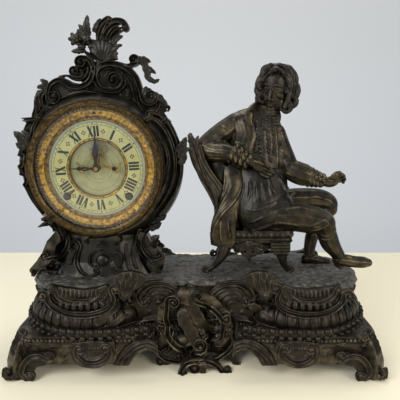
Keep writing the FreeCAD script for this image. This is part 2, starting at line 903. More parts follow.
def drum_case():
    outline = [(size.case_opening, -size.case_front)] + outer_bowl() + [
        (size.door_opening, size.case_back), (size.door_opening, size.case_back - size.case_lip),
    ] + inner_bowl()[::-1] + [(size.case_opening, -size.case_front + size.case_lip)]
    walls = turned("case_walls", outline, at_dial())
    lugs = hinge_lugs("bezel_lug", size.bezel_hinge_out, -size.bezel_hinge_depth,
                      -size.case_front + size.case_lip)
    lugs += hinge_lugs("door_lug", size.door_hinge_out, size.door_hinge_depth, size.case_back - size.case_lip)
    slot = box(
        "case_slot", at_dial(-size.case_slot_half, size.case_slot_front, -size.case_end_radius * 2),
        at_dial(size.case_slot_half, size.case_slot_back, -size.case_end_radius / 2),
    )
    bores = [
        hinge_pin("bezel_lug_bore", size.bezel_hinge_out, -size.bezel_hinge_depth, size.hinge_pin),
        hinge_pin("door_lug_bore", size.door_hinge_out, size.door_hinge_depth, size.hinge_pin),
    ]
    return node(cut("case", fused("case_and_lugs", [walls] + lugs), [slot] + bores), "drum_case")


def hinge_pins():
    return node(group("pins", [
        hinge_pin("bezel_pin", size.bezel_hinge_out, -size.bezel_hinge_depth, size.hinge_pin),
        hinge_pin("door_pin", size.door_hinge_out, size.door_hinge_depth, size.hinge_pin),
    ]), "hinge_pins")


# Scrolls of the crest in shares of the end radius of the case, from the dial centre
CREST_SHARES = (
    ((-0.86, 1.22, 0.04), (-0.80, 1.06, 0.08), (-0.62, 1.16, 0.09), (-0.44, 1.20, 0.10), (-0.24, 1.14, 0.11),
     (0.0, 1.14, 0.12)),
    ((0.229, 1.21, 0.13), (0.50, 1.10, 0.10), (0.75, 0.98, 0.11)),
    ((0.229, 1.21, 0.10), (0.40, 1.40, 0.08), (0.53, 1.48, 0.07)),
    ((0.53, 1.40, 0.07), (0.75, 1.31, 0.06), (0.90, 1.24, 0.035)),
    ((0.0, 1.14, 0.12), (-0.08, 1.34, 0.12), (0.10, 1.54, 0.13), (0.229, 1.21, 0.10)),
    ((-0.08, 1.34, 0.10), (-0.20, 1.47, 0.08), (-0.32, 1.60, 0.04)),
    ((-0.44, 1.20, 0.09), (-0.48, 1.30, 0.05), (-0.36, 1.36, 0.05)),
)
PLUME_SHARES = (
    ((0.135, 1.70, 0.11), (0.156, 1.84, 0.08), (0.06, 1.99, 0.055), (-0.0625, 2.07, 0.034)),
    ((0.156, 1.80, 0.08), (0.33, 1.91, 0.05), (0.46, 1.93, 0.03)),
    ((0.135, 1.72, 0.08), (-0.10, 1.73, 0.06), (-0.25, 1.76, 0.08)),
    ((0.156, 1.76, 0.07), (0.30, 1.74, 0.05), (0.42, 1.79, 0.035)),
)
EAR_SHARES = (
    ((-1.10, 0.20, 0.10), (-1.16, 0.36, 0.08), (-1.215, 0.56, 0.04)),
    ((-1.02, 0.62, 0.12), (-1.10, 0.78, 0.07), (-1.04, 0.94, 0.05)),
    ((1.12, -0.18, 0.09), (1.20, 0.06, 0.09), (1.25, 0.26, 0.04)),
)


def on_case(shares):
    return [scaled_run(run, size.case_end_radius, -size.dial_left, size.dial_height) for run in shares]


def crest_scrolls(case_solid):
    solid = relief(on_case(CREST_SHARES), -size.crest_front, -size.crest_back)
    return node(feature("crest", apart(solid, [case_solid])), "crest_scrolls")


def plume_finial(crest):
    solid = relief(on_case(PLUME_SHARES), -size.plume_front, -size.plume_back)
    return node(feature("plume", apart(solid, [crest])), "plume_finial")


def ear_scrolls(case_solid):
    ears = [relief([run], size.ear_front, size.ear_back) for run in on_case(EAR_SHARES)]
    return node(feature("ears", Part.makeCompound([apart(ear, [case_solid]) for ear in ears])), "ear_scrolls")


# Back door, bezel and glass

def back_door():
    front = size.case_back + size.door_gap
    holes = []
    for index in range(6):
        angle = math.radians(60 * index)
        holes.append((size.door_hole_circle * math.cos(angle), size.door_hole_circle * math.sin(angle),
                      size.door_hole))
    disc = padded(
        "door_disc", "XZ_Plane", size.door_thickness, circles=[(0, 0, size.door_radius)] + holes,
        at=at_dial(0, front + size.door_thickness),
    )
    knob = cylinder("door_pull", size.door_knob, size.door_knob_length,
                    at_dial(size.door_radius - 2 * size.door_knob, front, 0), "y")
    knuckle = cylinder("door_knuckle", size.knuckle_radius, 2 * size.knuckle_half,
                       at_dial(-size.door_hinge_out, size.door_hinge_depth, -size.knuckle_half))
    web = box(
        "door_web", at_dial(-size.door_hinge_out, front, -size.knuckle_half),
        at_dial(-size.door_radius + size.knuckle_radius * 2, front + size.door_thickness, size.knuckle_half),
    )
    bore = hinge_pin("door_bore", size.door_hinge_out, size.door_hinge_depth, size.hinge_pin + size.running_fit)
    return node(cut("door", fused("door_solid", [disc, knob, knuckle, web]), [bore]), "back_door_panel")


def bezel_ring():
    outline = [
        (size.bezel_inner, -size.glass_front),
        (size.bezel_inner, -size.bezel_front + size.bezel_round),
        (size.bezel_crown - size.bezel_round, -size.bezel_front),
        (size.bezel_crown + size.bezel_round, -size.bezel_front),
        (size.bezel_outer, -size.bezel_edge),
        (size.bezel_outer, -size.case_front - size.bezel_gap),
        (size.bezel_seat, -size.case_front - size.bezel_gap),
        (size.bezel_seat, -size.glass_front),
    ]
    ring = turned("bezel_turn", outline, at_dial())
    knuckle = cylinder("bezel_knuckle", size.knuckle_radius, 2 * size.knuckle_half,
                       at_dial(-size.bezel_hinge_out, -size.bezel_hinge_depth, -size.knuckle_half))
    web = box(
        "bezel_web",
        at_dial(-size.bezel_hinge_out, -size.bezel_hinge_depth - size.knuckle_radius, -size.knuckle_half),
        at_dial(-size.bezel_outer + size.knuckle_radius, -size.bezel_hinge_depth + size.knuckle_radius,
                size.knuckle_half),
    )
    bore = hinge_pin("bezel_bore", size.bezel_hinge_out, -size.bezel_hinge_depth,
                     size.hinge_pin + size.running_fit)
    return node(cut("bezel", fused("bezel_solid", [ring, knuckle, web]), [bore]), "bezel_ring")


def bezel_glass():
    outline = [
        (0, -size.glass_front), (size.glass_radius, -size.glass_front),
        (size.glass_radius, -size.glass_front + size.glass_thickness / 2),
        (size.glass_radius - size.glass_bevel, -size.glass_front + size.glass_thickness),
        (0, -size.glass_front + size.glass_thickness),
    ]
    return node(turned("glass", outline, at_dial()), "bezel_glass")


# Dial

def winding_places():
    return [(size.winding_side, -size.winding_drop), (-size.winding_side, -size.winding_drop)]


PAN_FOOT_SHARES = ((0.80, 0.55), (-0.80, 0.55), (0.38, -0.95), (-0.38, -0.95))


def dial_pan():
    circles = [(0, 0, size.pan_radius), (0, 0, size.rim_outer + size.dial_clearance)]
    circles += [(x, z, size.winding_hole) for x, z in winding_places()]
    circles.append((0, size.regulator_height, size.regulator_radius + size.dial_clearance))
    plate = padded("pan_plate", "XZ_Plane", size.pan_thickness, circles=circles,
                   at=at_dial(0, -size.pan_front + size.pan_thickness))
    feet = []
    length = size.pan_front - size.plate_front - size.pan_thickness
    for index, (across, up) in enumerate(PAN_FOOT_SHARES):
        feet.append(cylinder(
            f"pan_foot_{index}", size.pan_foot_radius, length,
            at_dial(size.plate_half * across, -size.plate_front - length, size.plate_half * up), "y",
        ))
    return node(fused("pan", [plate] + feet), "dial_pan")


def chapter_ring():
    circles = [(0, 0, size.dial_radius), (0, 0, size.rim_outer + size.dial_clearance)]
    circles += [(x, z, size.winding_hole) for x, z in winding_places()]
    return node(padded("ring", "XZ_Plane", size.dial_thickness, circles=circles,
                       at=at_dial(0, -size.pan_front)), "chapter_ring")


def dial_surround():
    back = -size.pan_front
    slope = size.surround_slope
    outline = [
        (size.surround_inner, back - size.dial_thickness), (size.surround_inner + slope, -size.surround_front),
        (size.surround_outer - slope, -size.surround_front), (size.surround_outer, back - size.dial_thickness),
        (size.surround_outer, back), (size.surround_inner, back),
    ]
    ring = turned("surround_turn", outline, at_dial())
    hole = cylinder("surround_hole", size.regulator_radius + size.dial_clearance, 2 * size.surround_front,
                    at_dial(0, -2 * size.surround_front, size.regulator_height), "y")
    return node(cut("surround", ring, [hole]), "dial_surround")


def centre_rim():
    back = -size.disc_front + size.disc_thickness
    outline = [
        (size.recess_radius + size.dial_clearance, back), (size.recess_radius + size.dial_clearance, -size.rim_front),
        (size.rim_outer, -size.rim_front), (size.rim_outer, back + size.pan_thickness),
        (size.rim_lip, back + size.pan_thickness), (size.rim_lip, back),
    ]
    return node(turned("rim", outline, at_dial()), "centre_rim")


def centre_disc():
    circles = [(0, 0, size.recess_radius), (0, 0, size.pipe_outer + size.hand_thickness)]
    for height in (size.escape_height, size.verge_height):
        circles.append((0, height, size.arbor_radius + size.hand_thickness))
    for way in (-1, 1):
        circles.append((way * size.bridge_side, 0, size.bridge_post + size.dial_clearance))
    return node(padded("disc", "XZ_Plane", size.disc_thickness, circles=circles,
                       at=at_dial(0, -size.disc_front + size.disc_thickness)), "centre_disc")


# Movement: plates, pillars, straps and springs

PLATE_BACK = -size.plate_front + size.plate_thickness
REAR = PLATE_BACK + size.plate_space


def meeting(first, first_reach, last, last_reach, side):
    """Point at the two distances from two arbors, on the chosen side."""
    dx = float(last[0] - first[0])
    dz = float(last[1] - first[1])
    span = math.hypot(dx, dz)
    along = (first_reach ** 2 - last_reach ** 2 + span ** 2) / (2 * span)
    out = side * math.sqrt(first_reach ** 2 - along ** 2)
    return (first[0] + (along * dx - out * dz) / span, first[1] + (along * dz + out * dx) / span)


TIME_GREAT = (size.winding_side, -size.winding_drop)
STRIKE_GREAT = (-size.winding_side, -size.winding_drop)
CENTRE = (0, 0)
ESCAPE = (0, size.escape_height)
VERGE = (0, size.verge_height)
MINUTE = (0, -(size.cannon_radius + size.minute_pitch_radius))
GREAT_REACH = size.great_pitch_radius + size.second_pinion_radius
TIME_SECOND = meeting(TIME_GREAT, GREAT_REACH, CENTRE, size.second_pitch_radius + size.centre_pinion_radius, -1)
THIRD = meeting(
    CENTRE, size.centre_pitch_radius + size.third_pinion_radius,
    ESCAPE, size.third_pitch_radius + size.escape_pinion_radius, -1,
)
STRIKE_SECOND = (-size.strike_second_side, STRIKE_GREAT[1] + math.sqrt(GREAT_REACH ** 2 - (size.strike_second_side - size.winding_side) ** 2))
FLY_REACH = size.second_pitch_radius + size.fly_pinion_radius
FLY = (-size.fly_side, STRIKE_SECOND[1]
       + math.sqrt(FLY_REACH ** 2 - (size.strike_second_side - size.fly_side) ** 2))
HAMMER = (-size.hammer_side, size.hammer_rise)
REGULATOR = (0, size.regulator_height)
SMALL_ARBORS = (TIME_SECOND, THIRD, ESCAPE, VERGE, STRIKE_SECOND, FLY, HAMMER)


def arbor_holes():
    fit = size.running_fit
    holes = [(x, z, size.arbor_radius + fit) for x, z in SMALL_ARBORS]
    holes += [(x, z, size.winding_arbor + fit) for x, z in (TIME_GREAT, STRIKE_GREAT)]
    holes.append((0, 0, size.centre_arbor + fit))
    return holes


def front_plate():
    tongue = size.plate_tongue_half
    outline = [
        (-size.plate_half, -size.plate_bottom), (size.plate_half, -size.plate_bottom),
        (size.plate_half, size.plate_top), (tongue, size.plate_top), (tongue, size.plate_tongue),
        (-tongue, size.plate_tongue), (-tongue, size.plate_top), (-size.plate_half, size.plate_top),
    ]
    holes = arbor_holes() + [(0, size.regulator_height, size.regulator_radius + size.running_fit)]
    plate = padded("front_plate_pad", "XZ_Plane", size.plate_thickness, outline, holes,
                   at_dial(0, PLATE_BACK))
    length = size.hour_level + 2 * size.wheel_thickness - size.plate_front
    stud = cylinder("minute_stud", size.arbor_radius, length,
                    at_dial(MINUTE[0], -size.plate_front - length, MINUTE[1]), "y")
    return node(fused("front_plate_solid", [plate, stud]), "front_plate")


def back_plate():
    outline = [
        (-size.plate_half, -size.plate_bottom), (size.plate_half, -size.plate_bottom),
        (size.plate_half, size.plate_top), (-size.plate_half, size.plate_top),
    ]
    plate = padded("back_plate_pad", "XZ_Plane", size.plate_thickness, outline, arbor_holes(),
                   at_dial(0, REAR + size.plate_thickness))
    stud = cylinder("pendulum_stud", size.pendulum_rod, size.pendulum_level - REAR,
                    at_dial(0, REAR, size.verge_height + size.pillar_radius * 2), "y")
    return node(fused("back_plate_solid", [plate, stud]), "back_plate")


def pillar_places():
    places = []
    for way in (-1, 1):
        places.append((way * size.pillar_side, size.pillar_high))
        places.append((way * size.pillar_side, -size.pillar_low))
    return places


def plate_pillars():
    pillars = []
    for index, (x, z) in enumerate(pillar_places()):
        pillars.append(cylinder(f"pillar_{index}", size.pillar_radius, size.plate_space,
                                at_dial(x, PLATE_BACK, z), "y"))
    return node(group("pillars", pillars), "plate_pillars")


def pillar_nuts():
    nuts = []
    for index, (x, z) in enumerate(pillar_places()):
        nut = doc.addObject("Part::Prism", f"pillar_nut_{index}")
        nut.Polygon = 6
        nut.setExpression("Circumradius", size.nut_radius.text)
        nut.setExpression("Height", size.nut_height.text)
        nut.Placement.Rotation = FreeCAD.Rotation(V(1, 0, 0), -90)
        nuts.append(place(nut, at_dial(x, REAR + size.plate_thickness, z)))
    return node(group("nuts", nuts), "pillar_nuts")


def movement_straps(cavity):
    straps = []
    for side, low, high in (("left", -2 * size.plate_half, -size.plate_half + size.strap_width),
                            ("right", size.plate_half - size.strap_width, 2 * size.plate_half)):
        bar = box(f"strap_{side}", at_dial(low, -size.plate_front - size.pan_thickness, -size.strap_height / 2),
                  at_dial(high, -size.plate_front, size.strap_height / 2))
        piece = doc.addObject("Part::Common", f"strap_{side}_fit")
        piece.Base = bar
        piece.Tool = cavity
        straps.append(piece)
    return node(group("straps", straps), "movement_straps")


def spiral_strip(outer, inner, strip, turns, front, back, at):
    """Flat strip wound inwards in half turns, each a semicircle on the last one's tangent."""
    step = (outer - inner) / (2 * turns)
    edges = []
    for offset in (0.0, float(strip)):
        line = []
        for half in range(2 * turns):
            start = (outer - offset - step * half) * (-1) ** half
            end = (outer - offset - step * (half + 1)) * (-1) ** (half + 1)
            middle = (start + end) / 2
            radius = abs(start - end) / 2
            top = radius if half % 2 == 0 else -radius
            line.append(Part.Arc(V(start, 0, 0), V(middle, 0, top), V(end, 0, 0)).toShape())
        edges.append(line)
    starts = [line[0].valueAt(line[0].FirstParameter) for line in edges]
    ends = [line[-1].valueAt(line[-1].LastParameter) for line in edges]
    closing = [Part.LineSegment(*starts).toShape(), Part.LineSegment(*ends).toShape()]
    wire = Part.Wire(Part.__sortEdges__(edges[0] + edges[1] + closing))
    solid = Part.Face(wire).extrude(V(0, back - front, 0))
    solid.translate(V(at[0] - size.dial_left, front, at[1] + size.dial_height))
    return solid


def mainspring(at, label):
    solid = spiral_strip(size.spring_outer, size.spring_inner, size.spring_strip, 4,
                         -size.spring_front, size.spring_back, at)
    return node(feature(label + "_strip", solid), label)


def gong_coil():
    solid = spiral_strip(size.gong_outer, size.gong_inner, size.gong_strip, 3,
                         size.gong_front, size.gong_back, CENTRE)
    return node(feature("gong_strip", solid), "gong_coil")


def gong_block(cavity, coil):
    low = V(*at_dial(size.gong_outer - 2 * size.gong_strip, size.gong_block_front, -size.gong_block_height / 2))
    block = Part.makeBox(size.case_end_radius, size.gong_block_back - size.gong_block_front,
                         size.gong_block_height, low)
    return node(feature("block", apart(block.common(cavity), [coil])), "gong_block")


# Wheels, pinions and arbors

def toothed_face(teeth, pitch, root_share, tip_share):
    """Gear outline; the shares are half widths of a tooth in tooth spaces."""
    module = 2 * pitch / teeth
    tip = pitch + module * ADDENDUM_SHARE
    root = pitch - module * DEDENDUM_SHARE
    space = 2 * math.pi / teeth
    points = []
    for tooth in range(teeth):
        middle = tooth * space
        for radius, share in ((root, -root_share), (tip, -tip_share), (tip, tip_share), (root, root_share)):
            angle = middle + share * space
            point = V(radius * math.cos(angle), 0, radius * math.sin(angle))
            if not points or (point - points[-1]).Length > 1e-6:
                points.append(point)
    return Part.Face(Part.makePolygon(points + points[:1]))


ADDENDUM_SHARE = 0.75
DEDENDUM_SHARE = 1.05
WHEEL_SHARES = (0.36, 0.10)
PINION_SHARES = (0.17, 0.10)


def gear(at, teeth, pitch, front, length, shares, turn=0.0):
    solid = toothed_face(teeth, pitch, *shares).extrude(V(0, length, 0))
    solid.rotate(V(0, 0, 0), V(0, 1, 0), turn)
    solid.translate(V(at[0] - size.dial_left, front, at[1] + size.dial_height))
    return solid


def rod(at, radius, front, back):
    return Part.makeCylinder(radius, back - front, V(at[0] - size.dial_left, front, at[1] + size.dial_height),
                             V(0, 1, 0))


def meshed_turn(driver, driver_turn, driver_teeth, driven, driven_teeth):
    """Turn of the driven gear that puts a space where the driver has a tooth.

    Turns are about +Y, which carries the gear's X axis towards -Z."""
    way = math.degrees(math.atan2(-(driven[1] - driver[1]), driven[0] - driver[0]))
    phase = (way - driver_turn) * driver_teeth / 360
    return way + 180 + (phase + 0.5) * 360 / driven_teeth


TIME_GREAT_TEETH = 40
SECOND_PINION_TEETH = 8
TIME_SECOND_TEETH = 36
CENTRE_PINION_TEETH = 8
CENTRE_TEETH = 60
SMALL_PINION_TEETH = 6
THIRD_TEETH = 60
ESCAPE_TEETH = 40
CANNON_TEETH = 12
MINUTE_TEETH = 36
MINUTE_PINION_TEETH = 10
HOUR_TEETH = 40
STRIKE_SECOND_TEETH = 48
FLY_PINION_TEETH = 8


def great_wheel(at, label):
    back = REAR + size.plate_thickness
    parts = [
        rod(at, size.winding_arbor, -size.winding_reach + size.pinion_length, back),
        gear(at, TIME_GREAT_TEETH, size.great_pitch_radius, size.great_level, size.wheel_thickness, WHEEL_SHARES),
        rod(at, size.spring_inner - size.spring_strip - size.dial_clearance, -size.spring_front,
            size.great_level),
    ]
    half = size.winding_square / 2
    corner = V(at[0] - size.dial_left - half, -size.winding_reach - size.pinion_length,
               at[1] + size.dial_height - half)
    parts.append(Part.makeBox(size.winding_square, 2 * size.pinion_length, size.winding_square, corner))
    return node(feature(label + "_shape", parts[0].multiFuse(parts[1:])), label)


def small_arbor(at, front, extras, label, radius=None, back=None):
    """Arbor from the depth front to the back plate, with its wheels and pinions."""
    shaft = rod(at, radius or size.arbor_radius, front, back or REAR + size.plate_thickness)
    return node(feature(label + "_shape", shaft.multiFuse(extras)), label)


def time_train():
    great = great_wheel(TIME_GREAT, "time_great_wheel")
    turn = meshed_turn(TIME_GREAT, 0, TIME_GREAT_TEETH, TIME_SECOND, SECOND_PINION_TEETH)
    middle = size.pinion_length / 2 - size.wheel_thickness / 2
    second = small_arbor(TIME_SECOND, PLATE_BACK - size.plate_thickness, [
        gear(TIME_SECOND, SECOND_PINION_TEETH, size.second_pinion_radius, size.great_level - middle,
             size.pinion_length, PINION_SHARES, turn),
        gear(TIME_SECOND, TIME_SECOND_TEETH, size.second_pitch_radius, size.second_level,
             size.wheel_thickness, WHEEL_SHARES),
    ], "time_second_wheel")
    turn = meshed_turn(TIME_SECOND, 0, TIME_SECOND_TEETH, CENTRE, CENTRE_PINION_TEETH)
    centre = small_arbor(CENTRE, -size.collet_front, [
        gear(CENTRE, CENTRE_PINION_TEETH, size.centre_pinion_radius, size.second_level - middle,
             size.pinion_length, PINION_SHARES, turn),
        gear(CENTRE, CENTRE_TEETH, size.centre_pitch_radius, size.centre_level, size.wheel_thickness,
             WHEEL_SHARES),
        gear(CENTRE, CANNON_TEETH, size.cannon_radius, -size.cannon_level - size.wheel_thickness,
             size.wheel_thickness, PINION_SHARES),
    ], "minute_arbor", size.centre_arbor)
    turn = meshed_turn(CENTRE, 0, CENTRE_TEETH, THIRD, SMALL_PINION_TEETH)
    third = small_arbor(THIRD, PLATE_BACK - size.plate_thickness, [
        gear(THIRD, SMALL_PINION_TEETH, size.third_pinion_radius, size.centre_level - middle,
             size.pinion_length, PINION_SHARES, turn),
        gear(THIRD, THIRD_TEETH, size.third_pitch_radius, -size.third_level, size.wheel_thickness,
             WHEEL_SHARES),
    ], "third_wheel")
    turn = meshed_turn(THIRD, 0, THIRD_TEETH, ESCAPE, SMALL_PINION_TEETH)
    escape = small_arbor(ESCAPE, -size.bridge_front + size.bridge_thickness / 2, [
        gear(ESCAPE, SMALL_PINION_TEETH, size.escape_pinion_radius, -size.third_level - middle,
             size.pinion_length, PINION_SHARES, turn),
        escape_teeth(),
    ], "escape_wheel")
    return [great, second, centre, third, escape]


def escape_teeth():
    """Saw-toothed rim on six arms, turned down from one blank."""
    tip = size.escape_tip_radius
    root = tip - size.escape_depth
    points = []
    space = 2 * math.pi / ESCAPE_TEETH
    for tooth in range(ESCAPE_TEETH):
        for radius, share in ((tip, 0.0), (root, 0.35)):
            angle = (tooth + share) * space
            points.append(V(radius * math.cos(angle), 0, radius * math.sin(angle)))
    blank = Part.Face(Part.makePolygon(points + points[:1])).extrude(V(0, size.wheel_thickness, 0))
    window = Part.makeCylinder(root - size.arbor_radius, size.wheel_thickness, V(0, 0, 0), V(0, 1, 0))
    hub = Part.makeCylinder(2 * size.arbor_radius, size.wheel_thickness, V(0, 0, 0), V(0, 1, 0))
    arms = []
    for index in range(5):
        arm = Part.makeBox(root, size.wheel_thickness, size.arbor_radius, V(0, 0, -size.arbor_radius / 2))
        arm.rotate(V(0, 0, 0), V(0, 1, 0), 72 * index)
        arms.append(arm)
    wheel = blank.cut(window).multiFuse([hub] + arms)
    wheel.translate(V(*at_dial(0, -size.escape_level, size.escape_height)))
    return wheel


def motion_work():
    start = -size.cannon_level - size.wheel_thickness
    turn = meshed_turn(CENTRE, 0, CANNON_TEETH, MINUTE, MINUTE_TEETH)
    level = -size.hour_level - size.wheel_thickness
    length = -start + level
    minute = gear(MINUTE, MINUTE_TEETH, size.minute_pitch_radius, start, size.wheel_thickness, WHEEL_SHARES, turn)
    pinion = gear(MINUTE, MINUTE_PINION_TEETH, size.minute_pinion_radius, level, -length, PINION_SHARES, turn)
    bore = rod(MINUTE, size.arbor_radius + size.running_fit, -size.pan_front, -size.plate_front)
    wheel = node(feature("minute_wheel_shape", minute.fuse(pinion).cut(bore)), "minute_wheel")
    turn = meshed_turn(MINUTE, turn, MINUTE_PINION_TEETH, CENTRE, HOUR_TEETH)
    hour = gear(CENTRE, HOUR_TEETH, size.hour_pitch_radius, level, size.wheel_thickness, WHEEL_SHARES, turn)
    pipe = rod(CENTRE, size.pipe_outer, -size.hour_hand_front, level + size.wheel_thickness)
    hole = rod(CENTRE, size.centre_arbor + size.running_fit, -size.hour_hand_front, -size.plate_front)
    pipe_node = node(feature("hour_pipe_shape", hour.fuse(pipe).cut(hole)), "hour_pipe")
    return wheel, pipe_node


def strike_train():
    great_wheel(STRIKE_GREAT, "strike_great_wheel")
    middle = size.pinion_length / 2 - size.wheel_thickness / 2
    turn = meshed_turn(STRIKE_GREAT, 0, TIME_GREAT_TEETH, STRIKE_SECOND, SECOND_PINION_TEETH)
    small_arbor(STRIKE_SECOND, PLATE_BACK - size.plate_thickness, [
        gear(STRIKE_SECOND, SECOND_PINION_TEETH, size.second_pinion_radius, size.great_level - middle,
             size.pinion_length, PINION_SHARES, turn),
        gear(STRIKE_SECOND, STRIKE_SECOND_TEETH, size.second_pitch_radius, size.second_level,
             size.wheel_thickness, WHEEL_SHARES),
    ], "strike_second_wheel")
    turn = meshed_turn(STRIKE_SECOND, 0, STRIKE_SECOND_TEETH, FLY, FLY_PINION_TEETH)
    blade = Part.makeBox(2 * size.fly_reach, size.fly_length, size.pan_thickness,
                         V(-size.fly_reach, 0, -size.pan_thickness / 2))
    blade.translate(V(*at_dial(FLY[0], -size.fly_length / 2, FLY[1])))
    small_arbor(FLY, PLATE_BACK - size.plate_thickness, [
        gear(FLY, FLY_PINION_TEETH, size.fly_pinion_radius, size.second_level - middle, size.pinion_length,
             PINION_SHARES, turn),
        blade,
    ], "strike_fly")


# Escapement, pendulum and hands

def bridge_posts(radius, front, back):
    return [rod((way * size.bridge_side, 0), radius, front, back) for way in (-1, 1)]


def escapement_bridge():
    side = size.bridge_side
    pad = size.bridge_pad
    high = size.escape_height
    runs = []
    for way in (-1, 1):
        runs.append([
            (0, high, size.bridge_pivot_pad), (way * side * 0.45, high * 1.08, pad * 0.6),
            (way * side * 0.88, high * 0.72, pad * 0.6), (way * side, 0, pad),
        ])
    runs.append([(0, high, pad * 0.6), (0, size.verge_height, pad)])
    plate = relief(runs, -size.bridge_front, -size.bridge_front + size.bridge_thickness)
    plate.translate(V(*at_dial()))
    posts = bridge_posts(size.bridge_post, -size.bridge_front + size.bridge_thickness, -size.plate_front)
    pivots = [rod(place_of, size.arbor_radius + size.running_fit, -size.bridge_front, -size.disc_front)
              for place_of in (ESCAPE, VERGE)]
    screws = bridge_posts(size.screw_shank, -size.bridge_front, -size.bridge_front + size.screw_depth)
    solid = plate.multiFuse(posts).cut(pivots + screws)
    return node(feature("bridge", solid), "escapement_bridge")


def bridge_screws():
    screws = []
    for index, way in enumerate((-1, 1)):
        head = cylinder(f"screw_head_{index}", size.screw_head, size.screw_head_height,
                        at_dial(way * size.bridge_side, -size.bridge_front - size.screw_head_height, 0), "y")
        shank = cylinder(f"screw_shank_{index}", size.screw_shank, size.screw_depth,
                         at_dial(way * size.bridge_side, -size.bridge_front, 0), "y")
        screws.append(fused(f"screw_{index}", [head, shank]))
    return node(group("screws", screws), "bridge_screws")


# The anchor in shares of the pallet span, from the verge down to the wheel
PALLET_SHARES = (
    ((0.0, 0.0, 0.30), (-0.62, -0.30, 0.20), (-1.0, -0.62, 0.13), (-1.03, -0.86, 0.09)),
    ((0.0, 0.0, 0.30), (0.62, -0.30, 0.20), (1.0, -0.62, 0.13), (1.03, -0.86, 0.09)),
)


def pallets():
    """Anchor, its arbor, and the crutch that reaches down behind the back plate."""
    runs = [scaled_run(shares, size.pallet_span, 0, 0) for shares in PALLET_SHARES]
    anchor = relief(runs, -size.pallet_front, -size.pallet_front + size.pallet_depth)
    anchor.translate(V(*at_dial(0, 0, size.verge_height)))
    back = size.crutch_back
    arm = relief([[(0, 0, size.crutch_width), (0, -size.crutch_length, size.crutch_width / 2)]],
                 back - size.crutch_thickness, back)
    arm.translate(V(*at_dial(0, 0, size.verge_height)))
    fork = []
    for way in (-1, 1):
        inner = size.pendulum_rod + size.dial_clearance
        start = inner if way > 0 else -inner - size.crutch_thickness
        fork.append(Part.makeBox(
            size.crutch_thickness, size.pendulum_level + size.pendulum_rod - back + size.crutch_thickness,
            size.crutch_thickness,
            V(*at_dial(start, back - size.crutch_thickness, size.verge_height - size.crutch_length)),
        ))
    return small_arbor(VERGE, -size.bridge_front + size.bridge_thickness / 2, [anchor, arm] + fork, "pallets",
                       back=back)


def pendulum():
    top = size.verge_height
    rod_length = size.pendulum_length + size.bob_radius + size.rating_nut * 2
    shaft = Part.makeCylinder(size.pendulum_rod, rod_length,
                              V(*at_dial(0, size.pendulum_level, top - rod_length)))
    bob = Part.makeCylinder(size.bob_radius, size.bob_thickness,
                            V(*at_dial(0, size.pendulum_level - size.bob_thickness / 2,
                                       top - size.pendulum_length)), V(0, 1, 0))
    rim = [edge for edge in bob.Edges if len(edge.Vertexes) == 1]
    bob = bob.makeChamfer(size.bob_thickness / 3, rim)
    nut = Part.makeCylinder(size.rating_nut, size.rating_nut,
                            V(*at_dial(0, size.pendulum_level, top - rod_length + size.rating_nut)))
    eye = Part.makeCylinder(size.pendulum_rod * 2, size.pendulum_rod * 2,
                            V(*at_dial(0, size.pendulum_level - size.pendulum_rod, top)), V(0, 1, 0))
    return node(feature("pendulum_shape", shaft.multiFuse([bob, nut, eye])), "pendulum")


# Hands in shares of their own length
HAND_SHARES = (
    ((0.0, 0.0, 0.0), (0.20, 0.0, 0.035), (0.42, 0.055, 0.028), (0.58, 0.0, 0.040), (0.80, 0.0, 0.022),
     (0.99, 0.0, 0.010)),
    ((0.20, 0.0, 0.035), (0.42, -0.055, 0.028), (0.58, 0.0, 0.040)),
)


def hand(length, front, seat, angle, label):
    runs = []
    for shares in HAND_SHARES:
        run = scaled_run(shares, length)
        if shares[0][2] == 0:
            run[0] = (0, 0, float(size.hand_hub))
        runs.append(run)
    solid = relief(runs, -front, -front + size.hand_thickness)
    solid.rotate(V(0, 0, 0), V(0, 1, 0), angle)
    solid.translate(V(*at_dial()))
    solid = solid.cut(rod(CENTRE, seat, -front - size.hand_thickness, -size.disc_front))
    return node(feature(label + "_shape", solid), label)


def hand_collet():
    circles = [(0, 0, size.collet_radius), (0, 0, size.centre_arbor)]
    return node(padded("collet", "XZ_Plane", size.collet_front - size.minute_hand_front, circles=circles,
                       at=at_dial(0, -size.minute_hand_front)), "hand_collet")


def hammer():
    """Hammer behind the movement, drawn back from the gong by the strike train."""
    level = size.hammer_level
    arm = relief([[
        (-size.hammer_side, size.hammer_rise, size.arbor_radius * 2),
        (-size.hammer_head_side, 0, size.arbor_radius),
    ]], level - size.screw_head, level)
    arm.translate(V(*at_dial()))
    head = Part.makeCylinder(size.hammer_head_radius, 2 * size.screw_head + size.hammer_head_radius,
                             V(*at_dial(-size.hammer_head_side, size.gong_front - size.screw_head, 0)), V(0, 1, 0))
    return small_arbor(HAMMER, PLATE_BACK - size.plate_thickness, [arm, head], "hammer", back=level)


def regulator_arbor():
    collar = rod(REGULATOR, 2 * size.regulator_radius, PLATE_BACK, PLATE_BACK + size.wheel_thickness)
    shaft = rod(REGULATOR, size.regulator_radius, -size.surround_front - size.wheel_thickness, PLATE_BACK)
    return node(feature("regulator_shape", shaft.fuse(collar)), "regulator_arbor")


# Chair

# Ring places on one cabriole leg: outward share of the knee, height share, radius
LEG_SHARES = ((0.0, 1.0, "leg_top"), (0.55, 0.72, "leg_knee"), (0.15, 0.30, "leg_ankle"), (0.75, 0.0, "leg_toe"))


def leg_places():
    places = []
    for way_x in (-1, 1):
        for way_y in (-1, 1):
            places.append((size.chair_middle + way_x * size.seat_half, size.seat_shift + way_y * size.seat_depth_half,
                           way_x, way_y))
    return places


